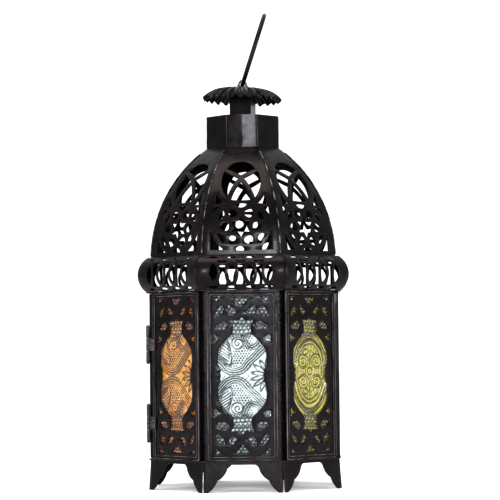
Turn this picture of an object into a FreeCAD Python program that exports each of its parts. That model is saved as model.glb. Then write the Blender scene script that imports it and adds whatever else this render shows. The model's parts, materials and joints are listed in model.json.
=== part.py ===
import FreeCAD, Part
import math
import os
from FreeCAD import Vector

# Octagonal candle lantern in painted sheet steel. Millimetres, +Z up.
# The origin is the centre of the footprint, on the plane that the feet stand on.
# The front face looks along -Y. A face is placed by its apothem, which is the
# distance from the lantern's axis to the middle of the face.
# Everything that repeats is built on the front face and turned about the axis.

# ---- driving dimensions ----
FACES = ["front", "front_right", "right", "rear_right", "rear", "rear_left", "left", "front_left"]
DOOR_FACE = FACES.index("left")
FACE_TURN = 360.0 / len(FACES)
CORNER = math.radians(FACE_TURN / 2)
SHEET = 0.8

BODY_APOTHEM = 71.0
SKIRT_TOP_APOTHEM = 70.3
SKIRT_FOOT_APOTHEM = 71.9
SKIRT_HEIGHT = 22.1
BASE_TOP = 23.1
FRAME_TOP = 146.3

FRAME_HALF_WIDTH = 25.6
FRAME_DEPTH = 4.8
WINDOW_HALF_WIDTH = 22.7
WINDOW_HALF_HEIGHT = 58.8
DOOR_GAP = 0.4
DOOR_BACK_GAP = 0.3
FRET_THICKNESS = 0.6
GLASS_THICKNESS = 2.6
PANE_MARGIN = 0.2
GLASS_MARGIN = 0.5
TAB_LENGTH = 4.3
TAB_THICKNESS = 0.5
POST_LEG = 5.5

RING_OPENING_APOTHEM = 58.0
TOP_RING_APOTHEM = 72.6
COLLAR_RADIUS = 16.0
COLLAR_CENTRE_APOTHEM = 62.9
COLLAR_CENTRE_Z = 159.5
COLLAR_TOP = 173.0
COLLAR_GAP = 0.5

DOME_RADIUS = 107.6
DOME_CENTRE_APOTHEM = -38.4
DOME_CENTRE_Z = 170.8
DOME_BOTTOM = 172.6
DOME_GAP = 0.35
ROSETTE_ARC = 22.8

NECK_APOTHEM = 27.4
NECK_BOTTOM = 252.0
NECK_TOP = 280.1
NECK_SHEET = 0.7
POST_WIDTH = 16.6
POST_TURN = -11.0

CAP_CROWN_Z = 303.5
CAP_RADIUS = 30.3
CAP_DROP = 8.6
CAP_TILT = 2.3
CAP_SCALLOPS = 26

RING_AXIS_Z = 306.0
RING_RADIUS = 27.8
RING_WIRE_RADIUS = 1.7
RING_LEAN = 18.0
RING_YAW = 4.4
EYE_HOLE_RADIUS = 2.0
EYE_THICKNESS = 1.6

HINGE_APOTHEM = 71.6
HINGE_HEIGHT = 28.0
HINGE_CENTRES = [49.5, 108.0]
KNUCKLE_RADIUS = 1.5
HINGE_PIN_RADIUS = 0.75
RUNNING_CLEARANCE = 0.05
KNUCKLE_GAP = 0.3
LEAF = 0.6

LATCH_Z = 84.7
LATCH_ARM_TIP = 3.4
HOOK_THICKNESS = 1.0
HOOK_GAP = 0.3
RIVET_RADIUS = 0.8
PEG_RADIUS = 0.7

CUP_RADIUS = 23.0
CUP_HEIGHT = 9.0
CUP_SHEET = 0.6

# ---- values worked out from the driving dimensions ----
HALF = math.tan(CORNER)
AXIS = Vector(0, 0, 1)
ORIGIN = Vector(0, 0, 0)
FRAME_MIDDLE = (BASE_TOP + FRAME_TOP) / 2
STILE_CENTRE = (FRAME_HALF_WIDTH + WINDOW_HALF_WIDTH) / 2
PANE_HALF_WIDTH = FRAME_HALF_WIDTH - SHEET - PANE_MARGIN
FRET_APOTHEM = BODY_APOTHEM - SHEET
GLASS_APOTHEM = FRET_APOTHEM - FRET_THICKNESS
GLASS_BACK_APOTHEM = GLASS_APOTHEM - GLASS_THICKNESS
POST_APOTHEM = BODY_APOTHEM - FRAME_DEPTH
BASE_RING_TOP = DOME_BOTTOM
FAR = 200.0


# ---- helpers ----
def save(name, solids):
    """Write one node, which is one solid or a group of separate ones."""
    shape = solids[0] if len(solids) == 1 else Part.makeCompound(solids)
    shape.exportStep("parts/" + name + ".step")


def turned(shape, index):
    """A copy of a front-face shape, carried round to the numbered face."""
    copy = shape.copy()
    copy.rotate(ORIGIN, AXIS, FACE_TURN * index)
    return copy


def only_solid(shape):
    """The one solid of a boolean's result."""
    return shape.Solids[0]


def box(x_range, apothem_range, z_range):
    """A box on the front face, between two values across, in depth and in height."""
    x_low, x_high = x_range
    inner, outer = apothem_range
    z_low, z_high = z_range
    corner = Vector(x_low, -outer, z_low)
    return Part.makeBox(x_high - x_low, outer - inner, z_high - z_low, corner)


def octagon_wire(apothem, z):
    radius = apothem / math.cos(CORNER)
    turns = [CORNER * (2 * k + 1) for k in range(len(FACES))]
    points = [Vector(radius * math.cos(a), radius * math.sin(a), z) for a in turns]
    return Part.makePolygon(points + points[:1])


def octagon_prism(apothem, z_range):
    z_low, z_high = z_range
    return Part.Face(octagon_wire(apothem, z_low)).extrude(AXIS * (z_high - z_low))


def octagon_tube(outer, inner, z_range):
    return only_solid(octagon_prism(outer, z_range).cut(octagon_prism(inner, z_range)))


def outline(points, place):
    """A closed wire through (across, up, bulge) points, taken anticlockwise.

    A bulge of 0 is a straight side. Any other is an arc to the next point, whose
    height is that many half chords, outwards if positive and inwards if negative.
    """
    edges = []
    for (x0, z0, bulge), (x1, z1, _) in zip(points, points[1:] + points[:1]):
        start = place(x0, z0)
        end = place(x1, z1)
        if bulge == 0:
            edges.append(Part.LineSegment(start, end).toShape())
            continue
        across = (x0 + x1 + bulge * (z1 - z0)) / 2
        up = (z0 + z1 - bulge * (x1 - x0)) / 2
        edges.append(Part.Arc(start, place(across, up), end).toShape())
    return Part.Wire(edges)


def reversed_order(points, across, up):
    """The mirror image of an outline, with its points back in anticlockwise order."""
    bulges = [bulge for _, _, bulge in reversed(points)]
    bulges = bulges[1:] + bulges[:1]
    corners = [(across * x, up * z) for x, z, _ in reversed(points)]
    return [(x, z, bulge) for (x, z), bulge in zip(corners, bulges)]


def both_sides(shapes):
    return shapes + [reversed_order(points, -1, 1) for points in shapes]


def four_ways(shapes):
    sides = both_sides(shapes)
    return sides + [reversed_order(points, 1, -1) for points in sides]


def spun(points, degrees):
    """An outline turned about its pattern's centre."""
    c = math.cos(math.radians(degrees))
    s = math.sin(math.radians(degrees))
    return [(c * x - s * z, s * x + c * z, bulge) for x, z, bulge in points]


# ---- feet and base ----
def foot_arch():
    """The opening between the two toes of one face: a flat top and an ogee each side."""
    toe = 25.8
    cusp = (18.6, 8.9)
    knee = (11.6, 16.6)
    shoulder = (8.7, 20.2)
    below = -1.0
    points = [
        (-toe, below, 0), (toe, below, 0), (toe, 0, -0.16), (cusp[0], cusp[1], -0.2),
        (knee[0], knee[1], 0.25), (shoulder[0], shoulder[1], 0), (-shoulder[0], shoulder[1], 0.25),
        (-knee[0], knee[1], -0.2), (-cusp[0], cusp[1], -0.16), (-toe, 0, 0),
    ]
    wire = outline(points, lambda x, z: Vector(x, -BODY_APOTHEM - 10, z))
    return Part.Face(wire).extrude(Vector(0, 20, 0))


def corner_slit():
    """The narrow V cut between the toes of neighbouring faces."""
    points = [(-1.1, -1, 0), (1.1, -1, 0), (0.35, 16.5, 0.5), (-0.35, 16.5, 0)]
    wire = outline(points, lambda x, z: Vector(x, -BODY_APOTHEM - 15, z))
    slit = Part.Face(wire).extrude(Vector(0, 25, 0))
    slit.rotate(ORIGIN, AXIS, FACE_TURN / 2)
    return slit


def foot_skirt():
    outer = Part.makeLoft(
        [octagon_wire(SKIRT_FOOT_APOTHEM, 0), octagon_wire(SKIRT_TOP_APOTHEM, SKIRT_HEIGHT)], True, True)
    inner = Part.makeLoft(
        [octagon_wire(SKIRT_FOOT_APOTHEM - SHEET, 0), octagon_wire(SKIRT_TOP_APOTHEM - SHEET, SKIRT_HEIGHT)],
        True, True)
    cuts = [inner]
    for index in range(len(FACES)):
        cuts.append(turned(foot_arch(), index))
        cuts.append(turned(corner_slit(), index))
    return only_solid(outer.cut(cuts))


def base_plate():
    overhang = 0.4
    return octagon_prism(BODY_APOTHEM + overhang, (SKIRT_HEIGHT, BASE_TOP))


def candle_cup():
    """A shallow spun pan with a rolled lip, which keeps the candle in the middle."""
    floor = BASE_TOP
    lip = 1.2
    profile = [
        (0, floor), (CUP_RADIUS - lip, floor), (CUP_RADIUS - lip, floor + CUP_HEIGHT - CUP_SHEET),
        (CUP_RADIUS, floor + CUP_HEIGHT - CUP_SHEET), (CUP_RADIUS, floor + CUP_HEIGHT),
        (CUP_RADIUS - lip - CUP_SHEET, floor + CUP_HEIGHT),
        (CUP_RADIUS - lip - CUP_SHEET, floor + CUP_SHEET), (0, floor + CUP_SHEET),
    ]
    points = [Vector(r, 0, z) for r, z in profile]
    return Part.Face(Part.makePolygon(points + points[:1])).revolve(ORIGIN, AXIS, 360)


def corner_posts():
    """Angle strips behind the gaps between frames, which the frames are soldered to."""
    heights = (BASE_TOP, FRAME_TOP)
    vertex = POST_APOTHEM * HALF
    leg = box((vertex - POST_LEG, vertex), (POST_APOTHEM - SHEET, POST_APOTHEM), heights)
    other = turned(box((-vertex, POST_LEG - vertex), (POST_APOTHEM - SHEET, POST_APOTHEM), heights), 1)
    inside = octagon_prism(POST_APOTHEM, heights)
    post = only_solid(leg.fuse(other).common(inside).removeSplitter())
    return [turned(post, index) for index in range(len(FACES))]


# ---- glazed frames ----
def frame_solid(end_gap, back_gap):
    """A pressed frame: a flat border with flanges turned back along all four sides."""
    z_range = (BASE_TOP + end_gap, FRAME_TOP - end_gap)
    back = BODY_APOTHEM - FRAME_DEPTH + back_gap
    width = FRAME_HALF_WIDTH
    outer = box((-width, width), (back, BODY_APOTHEM), z_range)
    cavity = box((SHEET - width, width - SHEET), (back - 1, BODY_APOTHEM - SHEET),
                 (z_range[0] + SHEET, z_range[1] - SHEET))
    window = box((-WINDOW_HALF_WIDTH, WINDOW_HALF_WIDTH), (back, BODY_APOTHEM + 1),
                 (FRAME_MIDDLE - WINDOW_HALF_HEIGHT, FRAME_MIDDLE + WINDOW_HALF_HEIGHT))
    return only_solid(outer.cut([cavity, window]))


def cartouche():
    """The large opening of a fret: a crowned oval with small cusps at the waist."""
    corner = [
        (15.2, 0, 0.35), (15.2, 4.2, 0.25), (17.6, 9.5, 0.06), (17.0, 18.6, 0.08), (10.5, 26.8, -0.1),
        (6.6, 31.4, -0.05), (6.6, 36.6, 0), (8.4, 40.6, 0), (3.6, 39.8, -0.2), (0, 42.6, 0),
    ]
    right_up = corner[:-1]
    left_up = [(-x, z) for x, z, _ in reversed(right_up)]
    left_bulges = [bulge for _, _, bulge in reversed(right_up)]
    upper = corner + [(x, z, bulge) for (x, z), bulge in zip(left_up, left_bulges[1:] + [0])]
    upper[len(right_up)] = (0, 42.6, right_up[-1][2])
    lower = [(-x, -z, bulge) for x, z, bulge in upper]
    return upper[:-1] + lower[:-1]


def fret_holes():
    """The small openings of a fret, about its centre."""
    quarter = [
        [(13.4, 57.5, 0), (19.8, 52.6, -0.05), (19.8, 57.5, 0)],
        [(3.4, 46.0, 0.2), (7.6, 43.8, 0.15), (10.2, 48.2, 0.2), (9.6, 51.2, 0.12)],
        [(13.2, 47.2, 0.1), (17.8, 42.4, 0.35), (19.6, 44.2, 0.1), (15.8, 50.4, 0.25), (13.4, 50.2, 0.1)],
        [(9.6, 37.0, 0.15), (12.4, 33.8, 0.12), (17.8, 33.8, 0.2), (19.4, 35.6, 0.1), (13.0, 39.6, 0.3)],
        [(15.2, 27.2, 0), (20.6, 23.4, 0), (20.6, 30.2, 0)],
    ]
    diamond = [(-5.6, 56.2, 0), (0, 50.4, 0), (5.6, 56.2, 0.12), (0, 57.0, 0.12)]
    return four_ways(quarter) + [diamond, reversed_order(diamond, 1, -1)]


def fret_solid():
    """The flat pierced sheet behind a frame's window."""
    half_height = (FRAME_TOP - BASE_TOP) / 2 - DOOR_GAP - SHEET - PANE_MARGIN
    width = PANE_HALF_WIDTH
    border = [(-width, -half_height, 0), (width, -half_height, 0), (width, half_height, 0),
              (-width, half_height, 0)]

    def place(x, z):
        return Vector(x, -FRET_APOTHEM, FRAME_MIDDLE + z)

    wires = [outline(points, place) for points in [border, cartouche()] + fret_holes()]
    face = Part.makeFace(wires, "Part::FaceMakerCheese")
    return only_solid(face.extrude(Vector(0, FRET_THICKNESS, 0)))


def glass_solid():
    half_height = (FRAME_TOP - BASE_TOP) / 2 - DOOR_GAP - SHEET - GLASS_MARGIN
    width = PANE_HALF_WIDTH + PANE_MARGIN - GLASS_MARGIN
    return box((-width, width), (GLASS_BACK_APOTHEM, GLASS_APOTHEM),
               (FRAME_MIDDLE - half_height, FRAME_MIDDLE + half_height))


def glass_tabs():
    """Four small tabs, bent over behind the glass to hold it and the fret in."""
    flange = FRAME_HALF_WIDTH - SHEET
    depth = (GLASS_BACK_APOTHEM - TAB_THICKNESS, GLASS_BACK_APOTHEM)
    tabs = []
    for side in (-1, 1):
        x_range = sorted((side * flange, side * (flange - TAB_LENGTH)))
        for height in (-38.0, 38.0):
            z = FRAME_MIDDLE + height
            tabs.append(box(x_range, depth, (z - 2.5, z + 2.5)))
    return tabs


# ---- door hinges ----
def upright(radius, centre, z_range):
    """A cylinder parallel to the axis, at an (x, apothem) centre."""
    x, apothem = centre
    z_low, z_high = z_range
    return Part.makeCylinder(radius, z_high - z_low, Vector(x, -apothem, z_low), AXIS)


def hinge(centre_z):
    """The fixed strap, the door's leaf and the pin of one hinge, beside the front face."""
    line = (HINGE_APOTHEM * HALF, HINGE_APOTHEM)
    low = centre_z - HINGE_HEIGHT / 2
    high = centre_z + HINGE_HEIGHT / 2
    third = HINGE_HEIGHT / 6
    middle = (centre_z - third, centre_z + third)
    plate_depth = (BODY_APOTHEM, BODY_APOTHEM + LEAF)

    strap_plate = turned(box((-line[0], -WINDOW_HALF_WIDTH), plate_depth, middle), 1)
    strap = upright(KNUCKLE_RADIUS, line, middle).fuse(strap_plate)
    strap = strap.cut(upright(HINGE_PIN_RADIUS, line, (low - 1, high + 1)))

    knuckles = []
    reach = line[0] - KNUCKLE_RADIUS - KNUCKLE_GAP
    leaf = box((WINDOW_HALF_WIDTH, reach), plate_depth, (low, high))
    for z_range in ((low, middle[0] - KNUCKLE_GAP), (middle[1] + KNUCKLE_GAP, high)):
        knuckles.append(upright(KNUCKLE_RADIUS, line, z_range))
        knuckles.append(box((reach, line[0]), plate_depth, z_range))
    leaf = leaf.fuse(knuckles)
    leaf = leaf.cut(upright(HINGE_PIN_RADIUS + RUNNING_CLEARANCE, line, (low - 1, high + 1)))

    pin_end = 0.6
    pin = upright(HINGE_PIN_RADIUS, line, (low - pin_end, high + pin_end))
    return only_solid(strap.removeSplitter()), only_solid(leaf.removeSplitter()), pin


# ---- door latch ----
def along_depth(radius, centre, apothem_range):
    """A cylinder that points out of the front face, at an (x, z) centre."""
    x, z = centre
    inner, outer = apothem_range
    return Part.makeCylinder(radius, outer - inner, Vector(x, -outer, z), Vector(0, 1, 0))


def peg_point():
    """Where the stile centre of the next face to the left lies, seen from the front face."""
    point = Vector(STILE_CENTRE, -BODY_APOTHEM, LATCH_Z)
    return FreeCAD.Rotation(AXIS, -FACE_TURN).multVec(point)


def latch_hook():
    """A flat hook, pivoted on the door's stile, whose notch drops over the peg."""
    pivot = (-STILE_CENTRE, LATCH_Z)
    peg_x = peg_point().x
    near = BODY_APOTHEM + HOOK_GAP
    depth = (near, near + HOOK_THICKNESS)
    through = (near - 1, near + HOOK_THICKNESS + 1)
    notch = 1.0
    arm = box((peg_x - LATCH_ARM_TIP, pivot[0]), depth, (LATCH_Z - 1.2, LATCH_Z + 2.4))
    thumb_tip = along_depth(1.8, (peg_x - LATCH_ARM_TIP, LATCH_Z + 0.6), depth)
    body = arm.fuse([along_depth(2.4, pivot, depth), thumb_tip])
    body = body.cut([
        along_depth(RIVET_RADIUS + RUNNING_CLEARANCE, pivot, through),
        along_depth(notch, (peg_x, LATCH_Z), through),
        box((peg_x - notch, peg_x + notch), through, (LATCH_Z - 5, LATCH_Z)),
    ])
    return only_solid(body)


def latch_pivot():
    """The headed rivet that the hook turns on."""
    pivot = (-STILE_CENTRE, LATCH_Z)
    head = BODY_APOTHEM + HOOK_THICKNESS + 2 * HOOK_GAP
    shank = along_depth(RIVET_RADIUS, pivot, (BODY_APOTHEM, head))
    return only_solid(shank.fuse(along_depth(1.7, pivot, (head, head + 0.6))).removeSplitter())


def latch_peg():
    """A headless peg on the next frame's stile, parallel to the hook's rivet."""
    point = peg_point()
    outer = BODY_APOTHEM + HOOK_THICKNESS + 2 * HOOK_GAP + 0.3
    peg = along_depth(PEG_RADIUS, (point.x, LATCH_Z), (-point.y - 2, outer))
    behind = turned(box((0, FRAME_HALF_WIDTH + 5), (BODY_APOTHEM - 9, BODY_APOTHEM),
                        (LATCH_Z - 5, LATCH_Z + 5)), -1)
    return only_solid(peg.cut(behind))


# ---- belly collar and its rings ----
def miter_prism(apothem_range, z_range, gap):
    """The wedge that one face owns between its two corner planes, less half a gap a side."""
    inner, outer = apothem_range
    side = gap / 2 / math.cos(CORNER)
    corners = [
        (inner * HALF - side, inner), (outer * HALF - side, outer),
        (side - outer * HALF, outer), (side - inner * HALF, inner),
    ]
    points = [Vector(x, -apothem, z_range[0]) for x, apothem in corners]
    face = Part.Face(Part.makePolygon(points + points[:1]))
    return face.extrude(AXIS * (z_range[1] - z_range[0]))


def curved_sheet(radius, centre, thickness):
    """A long half-cylinder shell that bulges outwards over the front face."""
    centre_apothem, centre_z = centre
    start = Vector(-FAR / 2, -centre_apothem, centre_z)
    along = Vector(1, 0, 0)
    return Part.makeCylinder(radius, FAR, start, along).cut(
        Part.makeCylinder(radius - thickness, FAR, start, along))


def collar_holes():
    """Openings of one collar piece: upright eyes, hourglasses between them, slots above and below."""
    pitch = 13.35
    eye = [(0, -7.2, 0.4), (0, 7.2, 0.4)]
    hourglass = [(-3.9, -8.9, 0), (3.9, -8.9, -0.27), (3.9, 8.9, 0), (-3.9, 8.9, -0.27)]
    slot = [(-3.5, 0, 0.26), (3.5, 0, 0.26)]
    shapes = []
    for step in (-1.5, -0.5, 0.5, 1.5):
        shapes.append([(x + step * pitch, z, bulge) for x, z, bulge in eye])
        for level in (-10.7, 11.3):
            shapes.append([(x + step * pitch, z + level, bulge) for x, z, bulge in slot])
    for step in (-1, 0, 1):
        shapes.append([(x + step * pitch, z, bulge) for x, z, bulge in hourglass])
    return shapes


def collar_panel():
    centre = (COLLAR_CENTRE_APOTHEM, COLLAR_CENTRE_Z)
    wedge = miter_prism((COLLAR_CENTRE_APOTHEM, COLLAR_CENTRE_APOTHEM + COLLAR_RADIUS + 1),
                        (FRAME_TOP + SHEET, COLLAR_TOP), COLLAR_GAP)
    sheet = curved_sheet(COLLAR_RADIUS, centre, SHEET).common(wedge)

    def place(x, z):
        return Vector(x, -BODY_APOTHEM - 15, COLLAR_CENTRE_Z + z)

    tools = [Part.Face(outline(points, place)).extrude(Vector(0, 25, 0)) for points in collar_holes()]
    return only_solid(sheet.cut(tools))


def body_top_ring():
    return octagon_tube(TOP_RING_APOTHEM, RING_OPENING_APOTHEM, (FRAME_TOP, FRAME_TOP + SHEET))


def dome_base_ring():
    """The flat ring that the dome stands on, inside the collar's upper lip."""
    rise = BASE_RING_TOP - COLLAR_CENTRE_Z
    lip = COLLAR_CENTRE_APOTHEM + math.sqrt((COLLAR_RADIUS - SHEET) ** 2 - rise ** 2)
    return octagon_tube(lip, RING_OPENING_APOTHEM, (BASE_RING_TOP - SHEET, BASE_RING_TOP))


# ---- dome ----
def rosette():
    """The star, petals, lenses and corner openings about the rosette's centre."""
    star = []
    for k in range(6):
        for radius, degrees in ((8.7, 30 + 60 * k), (4.5, 60 + 60 * k)):
            angle = math.radians(degrees)
            star.append((radius * math.cos(angle), radius * math.sin(angle), -0.06))
    petal = [(9.2, -2.3, 0.35), (12.4, -3.0, 0.15), (15.5, 0, 0.15), (12.4, 3.0, 0.35), (9.2, 2.3, 0.2)]
    lens = [(17.6, -4.3, 0.12), (17.6, 4.3, 0.68)]
    shapes = [star]
    for k in range(6):
        shapes.append(spun(petal, 60 * k))
        shapes.append(spun(lens, 60 * k + 30))
    corner = [(12.3, -17.4, 0), (22.3, -17.4, 0), (22.3, -3.1, -0.2)]
    return shapes + both_sides([corner])


def medallion():
    """The arched openings above the rosette, with two crossing bars left between them."""
    lunette = [(-10.4, 49.0, -0.05), (0, 42.7, -0.05), (10.4, 49.0, 0.72)]
    middle = [(-7.1, 20.9, 0.06), (7.1, 20.9, 0.1), (0, 36.1, 0.1)]
    side = [(2.2, 39.8, -0.08), (10.4, 22.9, 0.25), (12.3, 46.7, -0.05)]
    spandrel = [(12.6, 18.2, 0), (18.6, 17.2, 0.05), (17.8, 27.0, -0.12)]
    sliver = [(15.2, 15.7, -0.08), (20.6, 9.4, 0.05), (19.8, 15.4, 0)]
    return [lunette, middle] + both_sides([side, spandrel, sliver])


def dome_tool(points):
    """A cutter for one dome opening, square to the curved sheet at the opening's middle."""
    middle = sum(up for _, up, _ in points) / len(points)
    angle = (ROSETTE_ARC + middle) / DOME_RADIUS
    outwards = Vector(0, -math.cos(angle), math.sin(angle))
    upwards = Vector(0, math.sin(angle), math.cos(angle))
    centre = Vector(0, -DOME_CENTRE_APOTHEM, DOME_CENTRE_Z) + outwards * (DOME_RADIUS + 4)

    def place(x, up):
        return centre + Vector(x, 0, 0) + upwards * (up - middle)

    return Part.Face(outline(points, place)).extrude(outwards * -10)


def dome_panel():
    centre = (DOME_CENTRE_APOTHEM, DOME_CENTRE_Z)
    wedge = miter_prism((NECK_APOTHEM, BODY_APOTHEM), (DOME_BOTTOM, NECK_TOP), DOME_GAP)
    sheet = curved_sheet(DOME_RADIUS, centre, SHEET).common(wedge)
    return only_solid(sheet.cut([dome_tool(points) for points in rosette() + medallion()]))


# ---- neck, cap and carrying ring ----
def neck_collar():
    """An octagonal tube, closed with a lapped seam up the middle of the front."""
    tube = octagon_tube(NECK_APOTHEM, NECK_APOTHEM - NECK_SHEET, (NECK_BOTTOM, NECK_TOP))
    seam_bottom = 257.0
    seam = box((-1.6, 0), (NECK_APOTHEM - NECK_SHEET, NECK_APOTHEM + 0.5), (seam_bottom, NECK_TOP))
    return only_solid(tube.fuse(seam).removeSplitter())


def post_prism(half_width, z_range):
    prism = box((-half_width, half_width), (-half_width, half_width), z_range)
    prism.rotate(ORIGIN, AXIS, POST_TURN)
    return prism


def vent_plate():
    """The neck's top, with a square flue under the post and small vents round it."""
    z_range = (NECK_TOP - SHEET, NECK_TOP)
    plate = octagon_prism(NECK_APOTHEM - NECK_SHEET, z_range)
    cuts = [post_prism(POST_WIDTH / 2 - NECK_SHEET, z_range)]
    vent_radius = 2.0
    vent_circle = 19.5
    for k in range(len(FACES)):
        angle = CORNER * (2 * k + 1)
        centre = Vector(vent_circle * math.cos(angle), vent_circle * math.sin(angle), NECK_TOP - 2)
        cuts.append(Part.makeCylinder(vent_radius, 4, centre, AXIS))
    return only_solid(plate.cut(cuts))


def cap_curve(drop):
    """The cap's curve from the centre to the rim, lowered by a sheet's thickness or by nothing."""
    top = CAP_CROWN_Z - drop
    flat = 4.0
    crown = Part.LineSegment(Vector(0, 0, top), Vector(flat, 0, top)).toShape()
    shoulder = Vector(19.0, 0, top - 2.6)
    rim = Vector(CAP_RADIUS, 0, top - CAP_DROP)
    return crown, Part.Arc(Vector(flat, 0, top), shoulder, rim).toShape()


def cap_tilted(shape):
    shape.rotate(Vector(0, 0, CAP_CROWN_Z), Vector(0, 1, 0), CAP_TILT)
    return shape


def below_cap(drop):
    """Everything under the cap's outer or inner face, down to the neck."""
    crown, slope = cap_curve(drop)
    rim = slope.Vertexes[-1].Point
    floor = NECK_TOP - 10
    foot = Vector(rim.x, 0, floor)
    inner = Vector(0, 0, floor)
    edges = [
        crown, slope, Part.LineSegment(rim, foot).toShape(), Part.LineSegment(foot, inner).toShape(),
        Part.LineSegment(inner, Vector(0, 0, CAP_CROWN_Z - drop)).toShape(),
    ]
    return cap_tilted(Part.Face(Part.Wire(edges)).revolve(ORIGIN, AXIS, 360))


def chimney_cap():
    """A shallow dished cap with a scalloped rim."""
    cap = below_cap(0).cut(below_cap(SHEET))
    cuts = []
    scallop_radius = 2.2
    for k in range(CAP_SCALLOPS):
        angle = 2 * math.pi * k / CAP_SCALLOPS
        reach = CAP_RADIUS + 1.2
        centre = Vector(reach * math.cos(angle), reach * math.sin(angle), NECK_TOP)
        cuts.append(Part.makeCylinder(scallop_radius, 30, centre, AXIS))
    skirt_bottom = Vector(0, 0, CAP_CROWN_Z - CAP_DROP - SHEET - 8)
    skirt = cap_tilted(Part.makeCylinder(CAP_RADIUS + 5, 8, skirt_bottom))
    return only_solid(cap.cut(cuts + [skirt]))


def chimney_post():
    """A square sheet tube from the neck up to the underside of the cap."""
    z_range = (NECK_TOP, CAP_CROWN_Z + 5)
    tube = post_prism(POST_WIDTH / 2, z_range).cut(post_prism(POST_WIDTH / 2 - NECK_SHEET, z_range))
    return only_solid(tube.common(below_cap(SHEET)))


def yawed(shape):
    """The ring and its eye stand a little turned about the lantern's axis."""
    shape = shape.copy()
    shape.rotate(Vector(0, 0, 0), Vector(0, 0, 1), RING_YAW)
    return shape


def handle_eye():
    """A tapered tab on the cap, with a round hole for the ring's wire."""
    points = [
        (-4.6, -5.0, 0), (4.6, -5.0, 0), (4.6, -2.4, 0), (3.0, 1.6, 0.75), (-3.0, 1.6, 0), (-4.6, -2.4, 0),
    ]
    wire = outline(points, lambda x, z: Vector(x, -EYE_THICKNESS / 2, RING_AXIS_Z + z))
    tab = Part.Face(wire).extrude(Vector(0, EYE_THICKNESS, 0))
    hole = Part.makeCylinder(EYE_HOLE_RADIUS, 10, Vector(0, -5, RING_AXIS_Z), Vector(0, 1, 0))
    return only_solid(yawed(tab.cut(hole)).cut(below_cap(0)))


def ring_handle():
    lean = math.radians(RING_LEAN)
    upwards = Vector(math.sin(lean), 0, math.cos(lean))
    across = Vector(math.cos(lean), 0, -math.sin(lean))
    centre = Vector(0, 0, RING_AXIS_Z) + upwards * RING_RADIUS
    return yawed(Part.makeTorus(RING_RADIUS, RING_WIRE_RADIUS, centre, across))


# ---- the nodes ----
def save_faces():
    """Everything that each face has one of. The door's own pieces are named for the door."""
    fixed_frame = frame_solid(0, 0)
    door_frame = frame_solid(DOOR_GAP, DOOR_BACK_GAP)
    fret = fret_solid()
    glass = glass_solid()
    tabs = glass_tabs()
    collar = collar_panel()
    dome = dome_panel()
    fixed_tabs = []
    for index, face in enumerate(FACES):
        is_door = index == DOOR_FACE
        save("door_frame" if is_door else "frame_" + face,
             [turned(door_frame if is_door else fixed_frame, index)])
        save("door_fret" if is_door else "fret_" + face, [turned(fret, index)])
        save("door_glass" if is_door else "glass_" + face, [turned(glass, index)])
        save("collar_" + face, [turned(collar, index)])
        save("dome_" + face, [turned(dome, index)])
        if is_door:
            save("door_glass_tabs", [turned(tab, index) for tab in tabs])
        else:
            fixed_tabs += [turned(tab, index) for tab in tabs]
    save("glass_tabs", fixed_tabs)


def save_door_hardware():
    straps = []
    leaves = []
    pins = []
    for centre_z in HINGE_CENTRES:
        strap, leaf, pin = hinge(centre_z)
        straps.append(turned(strap, DOOR_FACE))
        leaves.append(turned(leaf, DOOR_FACE))
        pins.append(turned(pin, DOOR_FACE))
    save("hinge_straps", straps)
    save("hinge_leaves", leaves)
    save("hinge_pins", pins)
    save("latch_hook", [turned(latch_hook(), DOOR_FACE)])
    save("latch_pivot", [turned(latch_pivot(), DOOR_FACE)])
    save("latch_peg", [turned(latch_peg(), DOOR_FACE)])


def main():
    os.makedirs("parts", exist_ok=True)
    save("foot_skirt", [foot_skirt()])
    save("base_plate", [base_plate()])
    save("candle_cup", [candle_cup()])
    save("corner_posts", corner_posts())
    save_faces()
    save_door_hardware()
    save("body_top_ring", [body_top_ring()])
    save("dome_base_ring", [dome_base_ring()])
    save("neck_collar", [neck_collar()])
    save("vent_plate", [vent_plate()])
    save("chimney_post", [chimney_post()])
    save("chimney_cap", [chimney_cap()])
    save("handle_eye", [handle_eye()])
    save("ring_handle", [ring_handle()])


main()
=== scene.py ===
import bpy
import bmesh
import json
import math
import numpy as np
from mathutils import Matrix, Vector


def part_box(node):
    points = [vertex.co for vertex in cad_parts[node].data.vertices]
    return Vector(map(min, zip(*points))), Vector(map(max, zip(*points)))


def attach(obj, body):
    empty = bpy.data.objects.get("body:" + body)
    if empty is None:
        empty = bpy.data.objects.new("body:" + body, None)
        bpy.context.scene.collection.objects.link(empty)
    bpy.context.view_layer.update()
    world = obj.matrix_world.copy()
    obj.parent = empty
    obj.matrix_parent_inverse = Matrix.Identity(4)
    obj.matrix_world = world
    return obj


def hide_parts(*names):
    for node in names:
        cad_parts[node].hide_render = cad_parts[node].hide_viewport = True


# Octagonal candle lantern. The frame is in metres; the shapes below are worked out in
# millimetres on the front face, which looks along -Y, and carried round to each face.
# A face is placed by its apothem: the distance from the lantern's axis to its middle.

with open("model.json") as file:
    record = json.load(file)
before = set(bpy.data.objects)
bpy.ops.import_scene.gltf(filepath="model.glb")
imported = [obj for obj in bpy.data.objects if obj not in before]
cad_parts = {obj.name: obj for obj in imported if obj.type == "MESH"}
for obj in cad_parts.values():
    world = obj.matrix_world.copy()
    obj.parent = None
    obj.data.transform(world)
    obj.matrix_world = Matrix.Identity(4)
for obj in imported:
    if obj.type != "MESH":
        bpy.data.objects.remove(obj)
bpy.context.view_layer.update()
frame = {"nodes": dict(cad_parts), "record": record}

MM = 0.001
FACES = ["front", "front_right", "right", "rear_right", "rear", "rear_left", "left", "front_left"]
DOOR_FACE = "left"
TURN = math.radians(45)
HALF_SIDE = math.tan(TURN / 2)  # half a side of an octagon whose apothem is 1
FIXED_BODY = "lantern"
DOOR_BODY = "door"

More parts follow.
